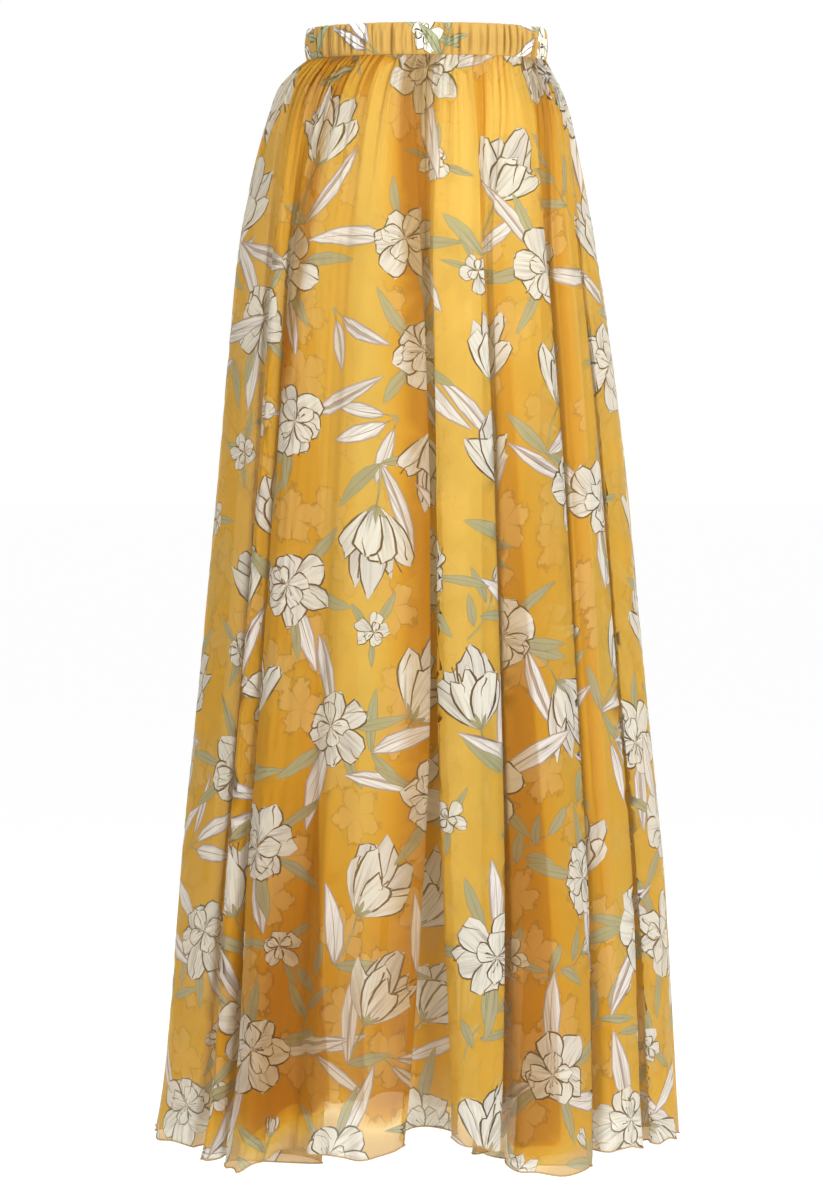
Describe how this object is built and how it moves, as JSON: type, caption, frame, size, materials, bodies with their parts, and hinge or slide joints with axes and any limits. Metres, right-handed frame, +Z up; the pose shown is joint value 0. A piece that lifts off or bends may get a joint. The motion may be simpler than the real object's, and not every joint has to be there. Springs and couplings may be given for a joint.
{
  "type": "maxi skirt",
  "caption": "Floor-length gathered skirt with an elastic waistband, a sheer floral outer layer in deep folds and a shorter plain slip lining, open at waist and hem.",
  "frame": {"origin": "middle of the waist opening, at half the waistband's height", "axes": "+Z up through the waist, the front faces -Y, and +X is the viewer's right, the wearer's left"},
  "size_m": [0.4836, 0.4141, 1.0225],
  "materials": {
    "gathered_casing": "matt printed chiffon gathered over elastic",
    "printed_chiffon": "sheer matt chiffon with a floral print",
    "slip_satin": "plain smooth lining with a soft sheen"
  },
  "bodies": {
    "root": {"waistband": "gathered_casing", "outer_front": "printed_chiffon", "outer_back": "printed_chiffon", "lining_front": "slip_satin", "lining_back": "slip_satin"}
  },
  "joints": []
}
